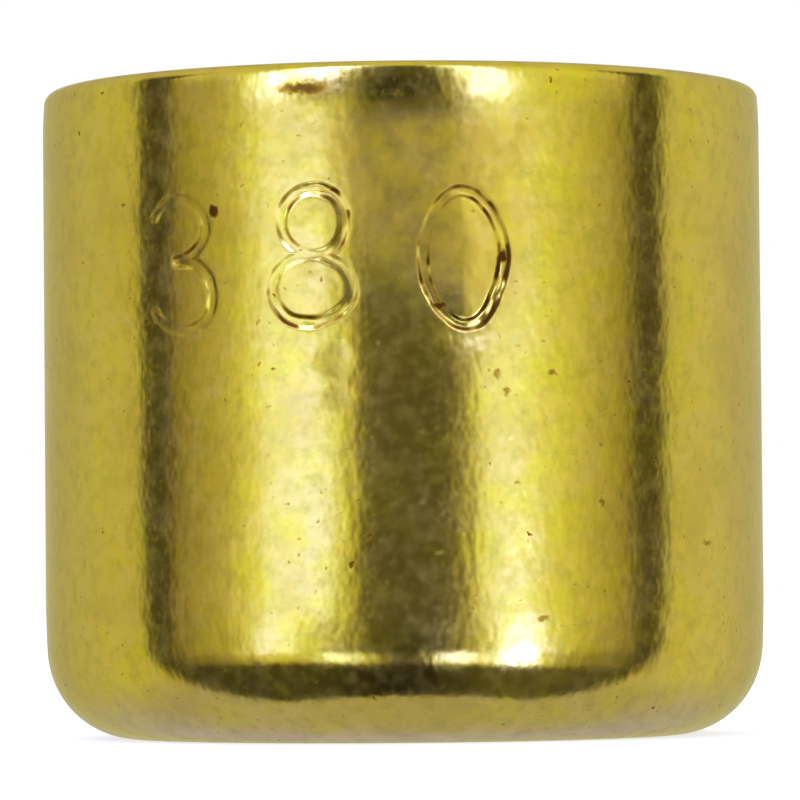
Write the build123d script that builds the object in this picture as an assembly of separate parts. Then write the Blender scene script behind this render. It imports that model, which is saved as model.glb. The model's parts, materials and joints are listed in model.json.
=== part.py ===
from build123d import *
import os

# Crimp ferrule for a rubber hose: one brass cup, deep drawn, pierced and trimmed.
# The hose is pushed into the open mouth until it meets the inturned end. A barbed stem comes through the
# pierced hole into the hose, and the wall is then crimped down on both.
#
# Frame: millimetres, +Z up. The origin is the centre of the inturned end's outer face, which the cup
# stands on, and +Z runs along the axis towards the open mouth.

# Driving sizes of the drawn cup
BORE_DIAMETER = 15.875  # inside of the wall, over the hose
WALL_THICKNESS = 0.89  # drawn wall
BASE_THICKNESS = 0.94  # inturned end, which drawing thins less than the wall
LENGTH = 15.875  # outer face of the inturned end to the rim of the mouth
SHOULDER_RADIUS = 2.2  # outside bend from the wall into the inturned end
SHOULDER_INNER_RADIUS = 1.2  # the same bend on the inside, left by the nose of the drawing punch
STEM_HOLE_DIAMETER = 11.1  # pierced hole for the barbed stem

# Edges
PIERCED_ROLLOVER = 0.3  # rounded edge on the side where the piercing punch went in
PIERCED_BREAK = 0.1  # small chamfer, deburred, on the far side of the pierced hole
MOUTH_EDGE_RADIUS = 0.3  # rounded outer edge of the rim
MOUTH_BREAK = 0.15  # small chamfer, deburred, on the inner edge of the rim
MOUTH_EASE_HEIGHT = 1.1  # length over which the wall eases inwards below the rim
MOUTH_EASE_INSET = 0.06  # how far the wall has eased inwards at the rim

bore_radius = BORE_DIAMETER / 2
outer_radius = bore_radius + WALL_THICKNESS
rim_radius = outer_radius - MOUTH_EASE_INSET
hole_radius = STEM_HOLE_DIAMETER / 2


def corner(outline, radius, height):
    """The vertex of the outline at that radius from the axis and that height."""
    return outline.vertices().sort_by_distance((radius, 0, height))[0]


def cup_outline():
    """Half section in the XZ plane, with sharp corners apart from the eased wall below the rim."""
    ease_start = (outer_radius, 0, LENGTH - MOUTH_EASE_HEIGHT)
    rim_outer = (rim_radius, 0, LENGTH)
    outside = Polyline((hole_radius, 0, 0), (outer_radius, 0, 0), ease_start)
    eased_wall = TangentArc(ease_start, rim_outer, tangent=(0, 0, 1))
    inside = Polyline(
        rim_outer,
        (bore_radius, 0, LENGTH),
        (bore_radius, 0, BASE_THICKNESS),
        (hole_radius, 0, BASE_THICKNESS),
        (hole_radius, 0, 0),
    )
    return make_face(outside + eased_wall + inside)


def rounded_section():
    """The half section with its bends, its rounded edges and its deburred ones."""
    rounds = [
        (outer_radius, 0, SHOULDER_RADIUS),
        (bore_radius, BASE_THICKNESS, SHOULDER_INNER_RADIUS),
        (hole_radius, BASE_THICKNESS, PIERCED_ROLLOVER),
        (rim_radius, LENGTH, MOUTH_EDGE_RADIUS),
    ]
    breaks = [
        (hole_radius, 0, PIERCED_BREAK),
        (bore_radius, LENGTH, MOUTH_BREAK),
    ]
    section = cup_outline()
    for radius, height, round_radius in rounds:
        section = fillet(corner(section, radius, height), round_radius)
    for radius, height, chamfer_length in breaks:
        section = chamfer(corner(section, radius, height), chamfer_length)
    return section


def ferrule():
    """The whole cup: its section turned about the axis."""
    cup = revolve(rounded_section(), axis=Axis.Z)
    cup.label = "ferrule"
    return cup


os.makedirs("parts", exist_ok=True)
export_step(ferrule(), "parts/ferrule.step")
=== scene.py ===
import json
import math
from collections import namedtuple

import bpy
import numpy as np
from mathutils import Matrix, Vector


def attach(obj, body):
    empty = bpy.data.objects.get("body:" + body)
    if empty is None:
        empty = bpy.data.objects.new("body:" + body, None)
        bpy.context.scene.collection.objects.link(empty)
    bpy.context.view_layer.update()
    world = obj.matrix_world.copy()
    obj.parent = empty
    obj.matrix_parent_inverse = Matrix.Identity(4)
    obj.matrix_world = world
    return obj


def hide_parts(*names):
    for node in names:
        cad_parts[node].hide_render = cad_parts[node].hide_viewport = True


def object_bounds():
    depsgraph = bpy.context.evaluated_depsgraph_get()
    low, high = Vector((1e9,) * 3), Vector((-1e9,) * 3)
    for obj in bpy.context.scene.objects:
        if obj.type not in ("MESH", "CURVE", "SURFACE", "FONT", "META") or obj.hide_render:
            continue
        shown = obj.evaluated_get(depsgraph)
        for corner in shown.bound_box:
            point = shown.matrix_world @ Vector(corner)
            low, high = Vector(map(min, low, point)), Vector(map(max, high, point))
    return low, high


# A drawn brass hose ferrule with a number stamped in its wall, standing on a pale floor.
# Lengths are millimetres in the ferrule's frame and become metres where Blender takes them. Angles round
# the axis are degrees from the front (-Y), positive to the right (+X).

MM = 0.001

# Edges of the section that no mount gives
END_THICKNESS = 0.94
MOUTH_EDGE_RADIUS = 0.3
MOUTH_EASE_INSET = 0.06
ARC_STEP = 5.0  # degrees between the rings of a bend or rounded edge
EASE_STEP = 0.8  # the same in the slight bend below the rim
SHARP_EDGE = 35.0  # degrees, above which shading breaks at an edge
HEEL_INSET = 0.04  # how far the wall draws in where it runs into the shoulder
HEEL_HEIGHTS = (3.2, 1.6)  # between which it does so
HEEL_SPACING = 0.1  # height between the rings of the mesh there

# Mesh spacing, fine only where the number is stamped
COARSE_ANGLE = 2.5
COARSE_HEIGHT = 0.7
FINE_SPACING = 0.032

# Stamped number: plain digits, struck one by one and so not quite alike
DIGIT_HEIGHT = 3.1  # to the middle of the stroke
DIGIT_WIDTH = 1.85
DIGIT_RISE = 11.25  # height of the number's middle
STROKE_FLOOR = 0.045  # half the width of the groove's floor
STROKE_FLANK = 0.13  # width of each flank
STROKE_DEPTH = 0.026
LIP_HEIGHT = 0.0015  # metal pushed up beside the groove
LIP_WIDTH = 0.1
STROKE_REACH = STROKE_FLOOR + STROKE_FLANK + 2 * LIP_WIDTH  # from the middle of a stroke to the plain wall
DISH_DEPTH = 0.01  # shallow hollow that the blow leaves round a digit
DISH_WIDTH = 0.5
STROKE_STEPS = 72
# Blows: lean in degrees, then the depth on the left, on the right and in the hollow round the digit
Punch = namedtuple("Punch", "digit angle lift lean left right dish")
PUNCHES = [
    Punch("3", -36.0, 0.0, 1.0, 0.6, 0.45, 0.6),
    Punch("8", -13.6, 0.08, -1.5, 0.55, 0.7, 0.8),
    Punch("0", 9.4, 0.05, 2.0, 0.7, 1.25, 2.2),
]
# Unevenness of a blow: waves with a strength, and radians for each millimetre across and up
BLOW_WAVES = [(0.4, 0.6, 2.1), (0.35, 4.0, -3.0), (0.2, 9.0, 7.0)]
# The same for the path of its strokes: waves with a reach in millimetres
PATH_WAVES = [(0.04, 1.2, 2.2), (0.006, -9.0, 7.0)]
# Strokes as arcs of an ellipse: middle and radii as shares of width and height, then start and end degrees
STROKES = {
    "3": [((-0.04, 0.26), (0.42, 0.24), (155, -90)), ((0.0, -0.24), (0.5, 0.26), (90, -155))],
    "8": [((0.0, 0.26), (0.42, 0.24), (0, 360)), ((0.0, -0.24), (0.5, 0.26), (0, 360))],
    "0": [((0.0, 0.0), (0.5, 0.5), (0, 360))],
}

# Dents: degrees round, height, reach across and up, and depth
Dent = namedtuple("Dent", "angle height across up depth")
DENTS = [
    Dent(-10.6, 8.95, 0.62, 0.6, 0.02),
    Dent(-10.0, 8.1, 0.5, 0.4, 0.01),
]
DENT_SPACING = 0.1  # height between the rings of the mesh there

# Stains on the wall, and at the end two darker patches over the dents: degrees round, height, how far
# they reach across and up, and how dark they are
Stain = namedtuple("Stain", "angle height across up strength")
STAINS = [
    Stain(-14.8, 15.25, 0.6, 0.14, 0.8),
    Stain(-29.8, 12.45, 0.1, 0.14, 1.0),
    Stain(15.4, 11.3, 0.11, 0.15, 1.0),
    Stain(5.5, 10.15, 0.2, 0.08, 0.9),
    Stain(14.4, 8.58, 0.1, 0.11, 0.45),
    Stain(15.9, 8.16, 0.09, 0.07, 0.5),
    Stain(23.0, 8.62, 0.11, 0.08, 0.55),
    Stain(21.3, 2.9, 0.15, 0.07, 0.5),
    Stain(31.5, 5.6, 0.06, 0.12, 0.5),
    Stain(54.5, 4.65, 0.12, 0.07, 0.45),
    Stain(-5.4, 4.85, 0.09, 0.08, 0.7),
    # darker patches over the two dents
    Stain(-10.4, 9.0, 0.33, 0.3, 0.22),
    Stain(-9.8, 8.1, 0.24, 0.2, 0.16),
]
STAIN_DEPTH = 0.5  # how far they reach into the wall, which keeps them off the bore
STAIN_EDGE = (1.5, 0.4)  # shares of the reach between which a stain begins

# Brass, mottled by clouds of other shades. A cloud is where a noise of a scale and a detail goes from
# a low to a high level, and a scale is in spots for each millimetre.
Cloud = namedtuple("Cloud", "scale detail low high rough", defaults=[0.5])
BRASS = (0.645, 0.515, 0.032)
MOTTLES = [
    (Cloud(1.1, 3.0, 0.35, 0.65), (0.655, 0.495, 0.062)),
    (Cloud(0.45, 3.0, 0.45, 0.8), (0.55, 0.4, 0.045)),
    (Cloud(2.3, 2.0, 0.5, 0.75), (0.66, 0.475, 0.045)),
    (Cloud(2.6, 3.0, 0.4, 0.8, 0.6), (0.52, 0.41, 0.036)),
]

# Specks, at most one in each cell of a scale: radius as a share of the cell, share of the cells that
# have none, share of the radius at which the soft edge ends, and strength
Speck = namedtuple("Speck", "scale radius rarity edge strength")
DARK_SPECKS = Speck(1.7, 0.13, 0.5, 0.2, 0.8)
PITS = Speck(3.0, 0.2, 0.1, 0.2, 0.4)
DULL_SPECKS = Speck(2.2, 0.26, 0.45, 0.0, 0.12)
PALE_FLECKS = Speck(1.5, 0.1, 0.55, 0.2, 0.15)
FRAY = 0.25  # unevenness of the edges of specks and stains
FRAY_NOISE = (6.0, 2.0)  # scale and detail of it

# Dirt in specks and stains, and painted shade with some grime along the flanks of the number:
# a little is coloured as tarnish, and more as grime
TARNISH_AND_FLANK_SHADE = (0.4, 0.24, 0.008)
TARNISH_AND_SHADE_START = (0.0, 0.5)  # amounts of dirt and painted shade between which it begins
GRIME_AND_FLANK_SHADE = (0.09, 0.035, 0.002)
GRIME_AND_SHADE_START = (0.3, 1.0)
FLANK_SHADE_CLOUD = Cloud(2.2, 1.0, 0.35, 0.6)  # where the flanks get painted shade and grime
DIRT_AND_SHADE_ROUGHNESS = 0.2  # roughness that dirt and the painted flank shade add
DIRT_AND_SHADE_VEIL = 0.6  # share of the metal's shine that it takes away

# Haze rubbed into the wall round the number
HAZE_BOTTOM = (9.9, 11.7)  # heights between which it begins
HAZE_TOP = (14.9, 14.2)  # the same at its upper end
HAZE_MIDDLE = 0.85  # to the right of the middle of the front
HAZE_SIDES = (2.8, 1.3)  # to each side, between which it begins
HAZE_FRONT = (0.0, -4.0)  # from the axis towards the front, between which it begins
HAZE_DEPTH = 0.3  # below the outside of the wall, above which it lies
HAZE_DRIFT = 2.3  # unevenness of its edges
HAZE_NOISE = (0.5, 3.0)  # scale and detail of it
HAZE_CLOUD = Cloud(1.7, 3.0, 0.35, 0.6)
HAZE_BETWEEN = 0.7  # its strength between its clouds
HAZE_GAIN = 0.4  # strength that the clouds add
HAZE_ROUGHNESS = 0.06
HAZE_VEIL = 0.5
HAZE_TINT = (1.0, 0.88, 0.45)

# Finish of the wall
GLOSS_NOISE = (1.3, 3.0)
GLOSS_ROUGHNESS = (0.08, 0.18)  # roughness where that noise is lowest and highest
SCUFF_CLOUD = Cloud(6.0, 2.0, 0.4, 0.85)
SCUFF_ROUGHNESS = 0.08
ROUGHEST = 0.265  # limit of the roughness where all of these add up
DUST_CLOUD = Cloud(2.4, 3.0, 0.4, 0.72)
DUST_VEIL = 0.12
WAVE_NOISE = (0.35, 0.0)
WAVE_HEIGHT = 0.03
GRAIN_NOISE = (3.8, 1.2)
GRAIN_HEIGHT = 0.0065
GRAIN_STRETCH = 1.6  # how much longer the grain is along the draw than round the wall

# Camera, close to the floor and a little below the middle of the ferrule
CAMERA_DISTANCE = 138.4  # from the ferrule's axis
CAMERA_HEIGHT = 3.5
CAMERA_ANGLE = 8.156  # field of view, degrees
CAMERA_ROLL = -0.5
CAMERA_NEAR = 1.0  # nearest and farthest that it sees
CAMERA_FAR = 10000.0
AIM = (-0.075, 0.0, 8.28)

# Studio in front of the ferrule, in rows one above another: degrees round from the front, and brightness
SHOULDER_ROW = [
    (-80, 0.2), (-60, 0.4), (-50, 0.75), (-45, 1.0), (-30, 0.8), (-25, 2.2), (-19, 2.2),
    (-12, 1.0), (-5, 0.12), (6, 0.12), (10, 1.6), (13, 2.6), (20, 2.6), (25, 1.3),
    (29, 1.4), (34, 5.5), (40, 5.5), (45, 1.2), (50, 0.75), (58, 0.4), (80, 0.2),
]
HEEL_ROW = [
    (-80, 0.3), (-57, 0.6), (-46, 1.7), (-38, 1.7), (-33, 1.2), (-26, 0.6), (-18, 0.32),
    (-12, 0.08), (9, 0.06), (16, 0.25), (28, 0.95), (33, 2.4), (36, 5.5), (39.5, 5.5),
    (43, 2.2), (48, 1.3), (56, 0.8), (65, 0.5), (78, 0.3),
]
SOFTBOX_ROW = [
    (-80, 0.3), (-57, 0.74), (-42, 1.5), (-26, 1.75), (-18.5, 1.08), (-13.5, 0.16), (11, 0.12),
    (16, 0.2), (21, 0.58), (24.5, 1.3), (30, 1.46), (37, 1.42), (50, 1.08), (57, 0.86), (78, 0.35),
]
UPPER_ROW = [
    (-80, 0.3), (-57, 0.72), (-42, 1.05), (-26, 1.2), (-19, 1.15), (-14, 0.6), (-10, 0.3),
    (11, 0.25), (16, 0.35), (21, 0.58), (25, 0.95), (37, 1.0), (50, 0.92), (57, 0.8), (78, 0.35),
]
RIM_ROW = [
    (-80, 0.45), (-62, 0.55), (-52, 0.85), (-46, 2.4), (-40, 2.8), (-36, 1.6), (-30, 0.45),
    (-22, 0.4), (-15, 0.2), (-9, 0.04), (8, 0.03), (13, 0.2), (18, 0.55), (22, 2.8),
    (31, 3.0), (38, 1.4), (47, 1.05), (62, 0.85), (80, 0.6),
]
CREST_ROW = [
    (-80, 0.85), (-55, 0.9), (-46, 1.5), (-41, 3.4), (-23, 3.4), (-17, 1.0), (-12, 0.3),
    (-8, 0.12), (9, 0.12), (14, 0.4), (20, 2.2), (31, 2.4), (37, 1.2), (60, 1.0), (80, 0.85),
]
TOP_ROW = [(-80, 0.85), (80, 0.85)]
GAP_ROW = [(-90, 0.09), (-35, 0.09), (-5, 0.02), (5, 0.02), (35, 0.16), (90, 0.09)]
HIGHER_ROWS = [  # degrees above the horizon between which a row takes over from the one below it
    (-9.8, -8.2, HEEL_ROW),
    (-5.2, -1.2, SOFTBOX_ROW),
    (2.2, 6.8, UPPER_ROW),
    (6.2, 8.8, RIM_ROW),
    (12, 15, CREST_ROW),
    (55, 80, TOP_ROW),
]
LIGHT_TINTS = [  # colour of the light in front against its brightness
    (0.0, (1.0, 0.95, 2.0)),
    (0.4, (1.03, 0.95, 1.0)),
    (0.75, (1.0, 1.0, 1.0)),
    (1.12, (1.0, 1.09, 0.9)),
    (1.4, (1.0, 1.17, 2.9)),
    (1.7, (1.0, 1.18, 5.2)),
    (2.6, (1.0, 1.18, 7.0)),
]
ROOM_SIDES = (74, 82)  # degrees to each side between which the room in front fades into the dark gap
ROOM_BOTTOM = (-15, -22)  # the same below the horizon, lower on the right by its tilt
ROOM_TILT = 3
GAP_TOP = (50, 30)  # degrees above the horizon between which the gap at the sides closes
# White sheet behind and below the ferrule, with a tilted edge that runs round in front of its foot.
# Its limits are parts of a direction of length 1, either straight back or straight up.
SHEET_TILT = 0.27
SHEET_EDGE = (-0.05, 0.08)  # back, between which it begins
SHEET_FRONT = (-0.84, -0.88)  # up, between which it begins in front
SHEET_LEFT = (0.765, 0.77, 0.74)
SHEET_RIGHT = (0.84, 0.85, 1.0)
SHEET_SHADE = (0.73, 0.7, 0.39)  # share of the sheet's light left close behind the ferrule
SHEET_SHADED = (0.3, 0.95)  # back, between which that shade begins
SHEET_BELOW = (0.62, 0.63, 1.4)
SHEET_LOW = (-0.3, -0.75)  # up, between which the part below begins

# Floor
FLOOR_REACH = 1200.0  # from the ferrule's axis to each side
FLOOR_TINT = (0.5, 0.48, 0.32)  # of the light that it throws back
FLOOR_GLOW = 0.72  # its own light for the camera, which makes it white outside the shadow

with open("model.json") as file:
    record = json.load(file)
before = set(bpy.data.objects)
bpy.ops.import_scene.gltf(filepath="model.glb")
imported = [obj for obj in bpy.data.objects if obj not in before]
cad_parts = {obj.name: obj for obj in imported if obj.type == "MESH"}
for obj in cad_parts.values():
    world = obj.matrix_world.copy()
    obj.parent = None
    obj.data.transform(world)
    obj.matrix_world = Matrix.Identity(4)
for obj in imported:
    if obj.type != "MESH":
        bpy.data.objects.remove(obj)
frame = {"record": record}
cad_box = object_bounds()
mounts = {mount["name"]: mount for mount in frame["record"]["mounts"]}


def wall_of(name):
    """Radius, lowest and highest point of a round mount's wall."""
    mount = mounts[name]
    middle = mount["pos_m"][2] / MM
    half = mount["dims"]["length_mm"] / 2
    return mount["dims"]["r_mm"], middle - half, middle + half


outer_radius, shoulder_top, ease_start = wall_of("crimp_band")
bore_radius, bore_bottom, bore_top = wall_of("hose_bore")
hole_radius, hole_bottom, hole_top = wall_of("stem_hole")
length = cad_box[1].z / MM


def arc(middle, radius, start, end, step=ARC_STEP):
    """Points of a bend in the section, from one angle to the other."""
    steps = max(2, round(abs(end - start) / step))
    angles = np.radians(np.linspace(start, end, steps + 1))
    return [(middle[0] + radius * math.cos(a), middle[1] + radius * math.sin(a)) for a in angles]


def spaced(start, end, fine_spans, fine, coarse):
    """Values from start to end, close together inside the spans and far apart outside them."""
    stops = sorted({start, end, *(edge for span in fine_spans for edge in span)})
    values = []
    for low, high in zip(stops, stops[1:]):
        middle = (low + high) / 2
        step = fine if any(a < middle < b for a, b in fine_spans) else coarse
        count = max(1, math.ceil((high - low) / step))
        values.extend(np.linspace(low, high, count, endpoint=False))
    return [*values, end]


def soft_step(share):
    """0 at 0, 1 at 1 and level at both ends, for shares from 0 to 1."""
    return share * share * (3 - 2 * share)


def outer_side():
    """Section from the end face up the outside to the rim, as radius and height."""
    shoulder = arc((outer_radius - shoulder_top, shoulder_top), shoulder_top, -90, 0)
    half_stamp = DIGIT_HEIGHT / 2 + STROKE_REACH
    stamped = (DIGIT_RISE - half_stamp, DIGIT_RISE + half_stamp)
    heights = spaced(shoulder_top, ease_start, [stamped], FINE_SPACING, COARSE_HEIGHT)
    heel = spaced(shoulder_top, HEEL_HEIGHTS[0], [], HEEL_SPACING, HEEL_SPACING)
    lowest_dent = min(dent.height - dent.up for dent in DENTS)
    dented = spaced(lowest_dent, stamped[0], [], DENT_SPACING, DENT_SPACING)
    heights = sorted({*heights, *heel, *dented})
    wall = [(outer_radius, height) for height in heights[1:]]
    rise = length - ease_start
    ease_radius = (rise * rise + MOUTH_EASE_INSET * MOUTH_EASE_INSET) / (2 * MOUTH_EASE_INSET)
    edge_height = length - MOUTH_EDGE_RADIUS
    meeting = math.asin((edge_height - ease_start) / (ease_radius - MOUTH_EDGE_RADIUS))
    ease_middle = outer_radius - ease_radius
    edge_middle = ease_middle + (ease_radius - MOUTH_EDGE_RADIUS) * math.cos(meeting)
    ease = arc((ease_middle, ease_start), ease_radius, 0, math.degrees(meeting), EASE_STEP)
    edge = arc((edge_middle, edge_height), MOUTH_EDGE_RADIUS, math.degrees(meeting), 90)
    side = np.array([*shoulder, *wall, *ease[1:], *edge[1:]])
    start, end = HEEL_HEIGHTS
    drawn = np.clip((side[:, 1] - start) / (end - start), 0, 1)
    side[:, 0] -= HEEL_INSET * soft_step(drawn)
    return side


def inner_side():
    """Section from the rim down the bore, over the inturned end and round to the end face."""
    mouth_break = length - bore_top
    bend_radius = bore_bottom - END_THICKNESS
    rollover = END_THICKNESS - hole_top
    rim = [(bore_radius + mouth_break, length), (bore_radius, bore_top)]
    bend = arc((bore_radius - bend_radius, bore_bottom), bend_radius, 0, -90)
    lip = arc((hole_radius + rollover, hole_top), rollover, 90, 180)
    foot = [(hole_radius, hole_bottom), (hole_radius + hole_bottom, 0)]
    return [*rim, *bend, *lip, *foot]


def stroke_points(digit):
    """Points along each stroke of a digit, in millimetres from its middle."""
    runs = []
    for middle, radii, (start, end) in STROKES[digit]:
        angles = np.radians(np.linspace(start, end, STROKE_STEPS + 1))
        across = DIGIT_WIDTH * (middle[0] + radii[0] * np.cos(angles))
        up = DIGIT_HEIGHT * (middle[1] + radii[1] * np.sin(angles))
        runs.append(np.column_stack((across, up)))
    return runs


def distance_to(runs, points):
    """Shortest distance from each point to the strokes."""
    nearest = np.full(len(points), np.inf)
    for run in runs:
        for a, b in zip(run, run[1:]):
            along = b - a
            share = np.clip((points - a) @ along / (along @ along), 0, 1)
            gap = points - a - share[:, None] * along
            nearest = np.minimum(nearest, np.hypot(gap[:, 0], gap[:, 1]))
    return nearest


def stamp(angles, heights):
    """Depth of blows and dents at each angle and height of the wall, and the flanks' painted shade and
    grime.
    """
    depth = np.zeros(angles.shape)
    grime = np.zeros(angles.shape)
    for punch in PUNCHES:
        across = np.radians(angles - punch.angle) * outer_radius
        up = heights - DIGIT_RISE - punch.lift
        near = (np.abs(across) < DIGIT_WIDTH) & (np.abs(up) < DIGIT_HEIGHT)
        lean = math.radians(punch.lean)
        local_across = across[near] * math.cos(lean) + up[near] * math.sin(lean)
        local_up = up[near] * math.cos(lean) - across[near] * math.sin(lean)
        path = np.column_stack((local_across, local_up))
        for reach, per_across, per_up in PATH_WAVES:
            turns = per_across * local_across + per_up * local_up + punch.angle
            path += reach * np.column_stack((np.sin(turns), np.cos(turns)))
        gap = distance_to(stroke_points(punch.digit), path)
        share = np.clip(local_across / DIGIT_WIDTH + 0.5, 0, 1)
        blow = punch.left + (punch.right - punch.left) * share
        for strength, per_across, per_up in BLOW_WAVES:
            blow *= 1 + strength * np.sin(per_across * local_across + per_up * local_up + punch.angle)
        flank = np.clip((gap - STROKE_FLOOR) / STROKE_FLANK, 0, 1)
        groove = STROKE_DEPTH * (1 - soft_step(flank))
        lip_middle = STROKE_FLOOR + STROKE_FLANK + LIP_WIDTH / 2
        lip = LIP_HEIGHT * np.exp(-(((gap - lip_middle) / LIP_WIDTH) ** 2))
        dish = DISH_DEPTH * np.exp(-((gap / DISH_WIDTH) ** 2))
        depth[near] += blow * (groove - lip) + punch.dish * dish
        # painted shade, with some grime, along the middle of each flank
        grime[near] += np.clip(blow * 4 * flank * (1 - flank), 0, 1)
    for dent in DENTS:
        across = np.radians(angles - dent.angle) * outer_radius / dent.across
        up = (heights - dent.height) / dent.up
        depth += dent.depth * soft_step(np.clip(1 - np.hypot(across, up), 0, 1))
    return depth, grime


def ferrule_mesh():
    """The cup as rings of quads, with the number and the dents set into the wall."""
    half_digit = math.degrees((DIGIT_WIDTH / 2 + STROKE_REACH) / outer_radius)
    spans = [(punch.angle - half_digit, punch.angle + half_digit) for punch in PUNCHES]
    fine_angle = math.degrees(FINE_SPACING / outer_radius)
    columns = np.array(spaced(-180, 180, spans, fine_angle, COARSE_ANGLE)[:-1])
    outside = outer_side()
    section = np.concatenate((outside, inner_side()))
    radii, angles = np.meshgrid(section[:, 0], columns, indexing="ij")
    heights = np.repeat(section[:, 1:], len(columns), axis=1)
    grime = np.zeros(radii.shape)
    wall = np.flatnonzero((outside[:, 1] >= shoulder_top) & (outside[:, 1] <= ease_start))
    depth, grime[wall] = stamp(angles[wall], heights[wall])
    radii[wall] -= depth
    turn = np.radians(angles)
    points = np.stack((radii * np.sin(turn), -radii * np.cos(turn), heights), axis=-1).reshape(-1, 3) * MM
    index = np.arange(len(points)).reshape(radii.shape)
    up = np.roll(index, -1, axis=0)
    quads = np.stack((index, np.roll(index, -1, axis=1), np.roll(up, -1, axis=1), up), axis=-1)
    mesh = bpy.data.meshes.new("stamped_ferrule")
    mesh.from_pydata(points.tolist(), [], quads.reshape(-1, 4).tolist())
    # the painted shade and grime of the flanks, kept on the points
    mesh.attributes.new("grime", "FLOAT", "POINT").data.foreach_set("value", grime.ravel())
    mesh.shade_smooth()
    mesh.set_sharp_from_angle(angle=math.radians(SHARP_EDGE))
    return mesh


class Nodes:
    """Adds and joins shader nodes of one tree."""

    def __init__(self, owner):
        owner.use_nodes = True
        self.tree = owner.node_tree
        self.tree.nodes.clear()

    def add(self, kind, settings=None, **inputs):
        node = self.tree.nodes.new(kind)
        for name, value in (settings or {}).items():
            setattr(node, name, value)
        for name, value in inputs.items():
            self.set(node.inputs[name.replace("_", " ")], value)
        return node

    def set(self, socket, value):
        if isinstance(value, bpy.types.NodeSocket):
            self.tree.links.new(value, socket)
        else:
            socket.default_value = value

    def math(self, operation, *values):
        node = self.add("ShaderNodeMath", {"operation": operation})
        for socket, value in zip(node.inputs, values):
            self.set(socket, value)
        return node.outputs[0]

    def vector_math(self, operation, *values):
        node = self.add("ShaderNodeVectorMath", {"operation": operation})
        for socket, value in zip(node.inputs, values):
            self.set(socket, value)
        return node.outputs["Value" if operation == "LENGTH" else "Vector"]

    def smooth(self, value, low, high):
        """0 at low, 1 at high and a soft step between them."""
        settings = {"interpolation_type": "SMOOTHSTEP"}
        node = self.add("ShaderNodeMapRange", settings, Value=value, From_Min=low, From_Max=high)
        return node.outputs["Result"]

    def mixed(self, factor, first, second, blend="MIX"):
        """Two colours mixed, by the sockets that the node keeps for colours."""
        node = self.add("ShaderNodeMix", {"data_type": "RGBA", "blend_type": blend})
        for socket, value in zip((node.inputs[0], node.inputs[6], node.inputs[7]), (factor, first, second)):
            self.set(socket, value)
        return node.outputs[2]

    def ramp(self, share, stops):
        """Colour against a share from 0 to 1, straight between the stops."""
        node = self.add("ShaderNodeValToRGB", Fac=share)
        elements = node.color_ramp.elements
        for place, _ in stops[2:]:
            elements.new(place)
        for element, (place, colour) in zip(elements, stops):
            element.position = place
            element.color = opaque(colour)
        return node.outputs["Color"]


def opaque(colour):
    return (*colour, 1.0)


def grey(level):
    return (level, level, level, 1.0)


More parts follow.
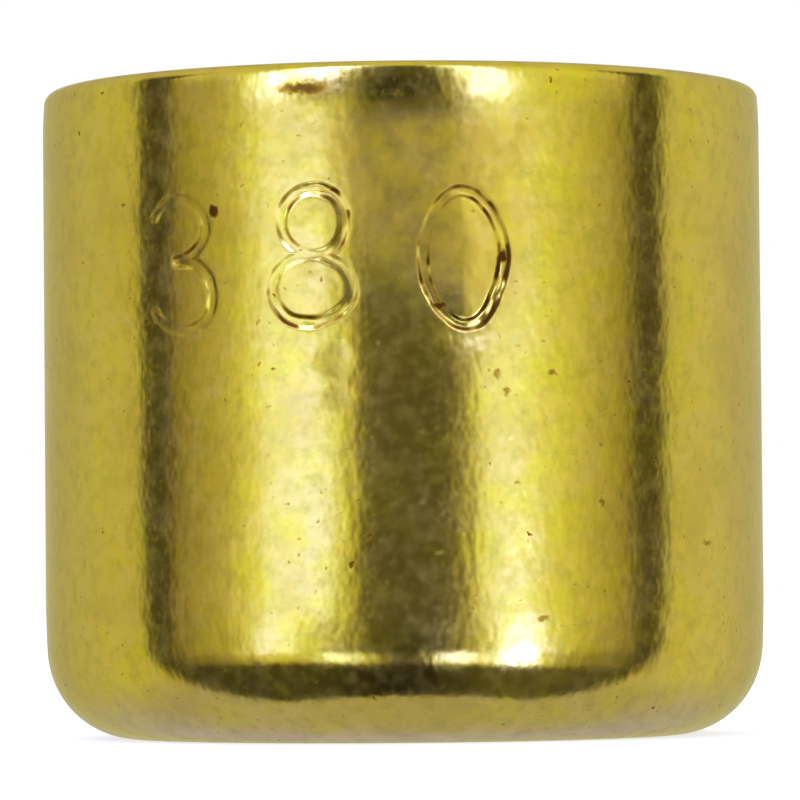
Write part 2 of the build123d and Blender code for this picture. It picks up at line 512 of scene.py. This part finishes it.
def brass():
    """Yellow brass as it comes from the press: an orange-peel grain, pits, mottling, dark grime and painted
    flank shade.
    """
    material = bpy.data.materials.new("drawn_brass")
    nodes = Nodes(material)
    place = nodes.add("ShaderNodeTexCoord").outputs["Object"]
    where = nodes.vector_math("MULTIPLY", place, (1 / MM, 1 / MM, 1 / MM))
    drawn = nodes.vector_math("MULTIPLY", where, (1.0, 1.0, 1 / GRAIN_STRETCH))

    def noise(scale, detail, rough=0.5, vector=where):
        node = nodes.add("ShaderNodeTexNoise", Vector=vector, Scale=scale, Detail=detail, Roughness=rough)
        return node.outputs

    def cloud(kind):
        """Soft patches where a noise is high."""
        level = noise(kind.scale, kind.detail, kind.rough)["Fac"]
        return nodes.smooth(level, kind.low, kind.high)

    def moved(scale, detail, reach):
        """Places on the wall, shifted unevenly by up to half the reach."""
        shift = noise(scale, detail)["Color"]
        shift = nodes.vector_math("MULTIPLY_ADD", shift, (reach,) * 3, (-reach / 2,) * 3)
        return nodes.vector_math("ADD", where, shift)

    frayed = moved(*FRAY_NOISE, FRAY)

    def scattered(kind):
        """Specks of a kind, one in each cell that a draw picks."""
        cell = nodes.add("ShaderNodeTexVoronoi", Vector=frayed, Scale=kind.scale)
        draw = nodes.add("ShaderNodeSeparateColor", Color=cell.outputs["Color"]).outputs["Red"]
        speck = nodes.smooth(cell.outputs["Distance"], kind.radius, kind.edge * kind.radius)
        return nodes.math("MULTIPLY", speck, nodes.smooth(draw, kind.rarity, 1.0))

    def away(stain):
        """Distance from the middle of a stain, as a share of its reach."""
        angle = math.radians(stain.angle)
        middle = (outer_radius * math.sin(angle), -outer_radius * math.cos(angle), stain.height)
        apart = nodes.vector_math("SUBTRACT", frayed, middle)
        shares = nodes.vector_math("MULTIPLY", apart, (1 / stain.across, 1 / STAIN_DEPTH, 1 / stain.up))
        return nodes.vector_math("LENGTH", shares)

    here = nodes.add("ShaderNodeSeparateXYZ", Vector=where).outputs
    drifted = nodes.add("ShaderNodeSeparateXYZ", Vector=moved(*HAZE_NOISE, HAZE_DRIFT)).outputs
    aside = nodes.math("ABSOLUTE", nodes.math("SUBTRACT", drifted["X"], HAZE_MIDDLE))
    radius = nodes.vector_math("LENGTH", nodes.vector_math("MULTIPLY", where, (1.0, 1.0, 0.0)))
    limits = [
        nodes.smooth(aside, *HAZE_SIDES),
        nodes.smooth(here["Z"], *HAZE_TOP),
        nodes.smooth(here["Y"], *HAZE_FRONT),
        nodes.math("MULTIPLY_ADD", cloud(HAZE_CLOUD), HAZE_GAIN, HAZE_BETWEEN),
        nodes.smooth(radius, bore_radius, outer_radius - HAZE_DEPTH),
    ]
    haze = nodes.smooth(drifted["Z"], *HAZE_BOTTOM)
    for limit in limits:
        haze = nodes.math("MULTIPLY", haze, limit)

    # painted shade, with some grime, along the flanks of the number
    flank_shade = nodes.add("ShaderNodeAttribute", {"attribute_name": "grime"}).outputs["Fac"]
    dirt_and_flank_shade = nodes.math("MULTIPLY", flank_shade, cloud(FLANK_SHADE_CLOUD))
    for stain in STAINS:
        mark = nodes.smooth(away(stain), *STAIN_EDGE)
        dirt_and_flank_shade = nodes.math("MAXIMUM", dirt_and_flank_shade, nodes.math("MULTIPLY", mark, stain.strength))
    for specks in (DARK_SPECKS, PITS):
        dirt_and_flank_shade = nodes.math("MAXIMUM", dirt_and_flank_shade, nodes.math("MULTIPLY", scattered(specks), specks.strength))

    colour = opaque(BRASS)
    for kind, shade in MOTTLES:
        colour = nodes.mixed(cloud(kind), colour, opaque(shade))
    colour = nodes.mixed(haze, colour, opaque(HAZE_TINT), "MULTIPLY")
    # tarnish and grime over the dirt, and painted shade in the flanks
    colour = nodes.mixed(nodes.smooth(dirt_and_flank_shade, *TARNISH_AND_SHADE_START), colour, opaque(TARNISH_AND_FLANK_SHADE))
    colour = nodes.mixed(nodes.smooth(dirt_and_flank_shade, *GRIME_AND_SHADE_START), colour, opaque(GRIME_AND_FLANK_SHADE))

    smoothest, dullest = GLOSS_ROUGHNESS
    gloss = noise(*GLOSS_NOISE)["Fac"]
    rough = nodes.add("ShaderNodeMapRange", Value=gloss, To_Min=smoothest, To_Max=dullest).outputs["Result"]
    rough = nodes.math("MULTIPLY_ADD", dirt_and_flank_shade, DIRT_AND_SHADE_ROUGHNESS, rough)
    rough = nodes.math("MULTIPLY_ADD", cloud(SCUFF_CLOUD), SCUFF_ROUGHNESS, rough)
    rough = nodes.math("MULTIPLY_ADD", scattered(DULL_SPECKS), DULL_SPECKS.strength, rough)
    rough = nodes.math("MULTIPLY_ADD", haze, HAZE_ROUGHNESS, rough)
    rough = nodes.math("MINIMUM", rough, ROUGHEST)

    metal = nodes.math("MULTIPLY_ADD", haze, -HAZE_VEIL, 1.0)
    metal = nodes.math("MULTIPLY_ADD", dirt_and_flank_shade, -DIRT_AND_SHADE_VEIL, metal)
    metal = nodes.math("MULTIPLY_ADD", cloud(DUST_CLOUD), -DUST_VEIL, metal)
    metal = nodes.math("MULTIPLY_ADD", scattered(PALE_FLECKS), -PALE_FLECKS.strength, metal)

    swell = noise(*WAVE_NOISE)["Fac"]
    wave = nodes.add("ShaderNodeBump", Height=swell, Distance=WAVE_HEIGHT * MM).outputs["Normal"]
    grain = noise(*GRAIN_NOISE, vector=drawn)["Fac"]
    peel = nodes.add("ShaderNodeBump", Height=grain, Distance=GRAIN_HEIGHT * MM, Normal=wave)
    shader = nodes.add(
        "ShaderNodeBsdfPrincipled",
        Base_Color=colour,
        Metallic=metal,
        Roughness=rough,
        Specular_IOR_Level=0.0,
        Normal=peel.outputs["Normal"],
    )
    nodes.add("ShaderNodeOutputMaterial", Surface=shader.outputs["BSDF"])
    return material


def studio():
    """World: white to the camera, and otherwise a lit room in front, a dark gap and a white sheet."""
    world = bpy.data.worlds.new("studio")
    bpy.context.scene.world = world
    nodes = Nodes(world)
    direction = nodes.add("ShaderNodeTexCoord").outputs["Generated"]
    parts = nodes.add("ShaderNodeSeparateXYZ", Vector=direction)
    x, y, z = (parts.outputs[axis] for axis in "XYZ")
    turn = nodes.math("ARCTAN2", x, nodes.math("MULTIPLY", y, -1.0))
    share = nodes.math("MULTIPLY_ADD", turn, 1 / math.tau, 0.5)
    rise = nodes.math("ARCSINE", z)

    def row(levels):
        """Brightness all round, straight between the levels."""
        return nodes.ramp(share, [(degrees / 360 + 0.5, (level, level, level)) for degrees, level in levels])

    light = row(SHOULDER_ROW)
    for low, high, levels in HIGHER_ROWS:
        taken = nodes.smooth(rise, math.radians(low), math.radians(high))
        light = nodes.mixed(taken, light, row(levels))
    beside = nodes.smooth(nodes.math("ABSOLUTE", turn), *(math.radians(d) for d in ROOM_SIDES))
    beside = nodes.math("MULTIPLY", beside, nodes.smooth(rise, *(math.radians(d) for d in GAP_TOP)))
    tilted = nodes.math("MULTIPLY_ADD", x, math.radians(ROOM_TILT), rise)
    under = nodes.smooth(tilted, *(math.radians(d) for d in ROOM_BOTTOM))
    light = nodes.mixed(nodes.math("MAXIMUM", beside, under), light, row(GAP_ROW))
    brightest = LIGHT_TINTS[-1][0]
    level_share = nodes.math("DIVIDE", light, brightest)
    tint = nodes.ramp(level_share, [(level / brightest, colour) for level, colour in LIGHT_TINTS])
    light = nodes.mixed(1.0, light, tint, "MULTIPLY")

    sheet = nodes.mixed(nodes.smooth(x, -1.0, 1.0), opaque(SHEET_LEFT), opaque(SHEET_RIGHT))
    sheet = nodes.mixed(nodes.smooth(y, *SHEET_SHADED), sheet, opaque(SHEET_SHADE), "MULTIPLY")
    sheet = nodes.mixed(nodes.smooth(z, *SHEET_LOW), sheet, opaque(SHEET_BELOW))
    behind = nodes.smooth(nodes.math("MULTIPLY_ADD", z, -SHEET_TILT, y), *SHEET_EDGE)
    below = nodes.smooth(z, *SHEET_FRONT)
    light = nodes.mixed(nodes.math("MAXIMUM", behind, below), light, sheet)

    seen = nodes.add("ShaderNodeLightPath").outputs["Is Camera Ray"]
    shine = nodes.add("ShaderNodeBackground", Color=nodes.mixed(seen, light, grey(1.0)), Strength=1.0)
    nodes.add("ShaderNodeOutputWorld", Surface=shine.outputs["Background"])


def floor():
    """A pale floor, white where it is clear of the ferrule's shadow."""
    reach = FLOOR_REACH * MM
    corners = [(-reach, -reach, 0), (reach, -reach, 0), (reach, reach, 0), (-reach, reach, 0)]
    mesh = bpy.data.meshes.new("floor")
    mesh.from_pydata(corners, [], [(0, 1, 2, 3)])
    plane = bpy.data.objects.new("floor", mesh)
    bpy.context.scene.collection.objects.link(plane)
    material = bpy.data.materials.new("pale_floor")
    nodes = Nodes(material)
    lit = nodes.add("ShaderNodeBsdfDiffuse", Color=opaque(FLOOR_TINT)).outputs[0]
    seen = nodes.add("ShaderNodeLightPath").outputs["Is Camera Ray"]
    own_light = nodes.mixed(seen, grey(0.0), grey(FLOOR_GLOW))
    glow = nodes.add("ShaderNodeEmission", Color=own_light, Strength=1.0).outputs[0]
    both = nodes.add("ShaderNodeAddShader")
    nodes.set(both.inputs[0], lit)
    nodes.set(both.inputs[1], glow)
    nodes.add("ShaderNodeOutputMaterial", Surface=both.outputs[0])
    mesh.materials.append(material)
    plane.visible_glossy = False


def camera():
    """The camera in front, turned to the ferrule."""
    data = bpy.data.cameras.new("camera")
    data.angle = math.radians(CAMERA_ANGLE)
    data.clip_start = CAMERA_NEAR * MM
    data.clip_end = CAMERA_FAR * MM
    view = bpy.data.objects.new("camera", data)
    bpy.context.scene.collection.objects.link(view)
    view.location = Vector((0, -CAMERA_DISTANCE, CAMERA_HEIGHT)) * MM
    gaze = (Vector(AIM) * MM - view.location).to_track_quat("-Z", "Y")
    view.rotation_euler = gaze.to_euler()
    view.rotation_euler.rotate_axis("Z", math.radians(CAMERA_ROLL))
    bpy.context.scene.camera = view


ferrule = bpy.data.objects.new("stamped_ferrule", ferrule_mesh())
bpy.context.scene.collection.objects.link(ferrule)
ferrule.data.materials.append(brass())
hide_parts("ferrule")
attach(ferrule, "root")

studio()
floor()
camera()
bpy.context.scene.view_settings.view_transform = "Standard"
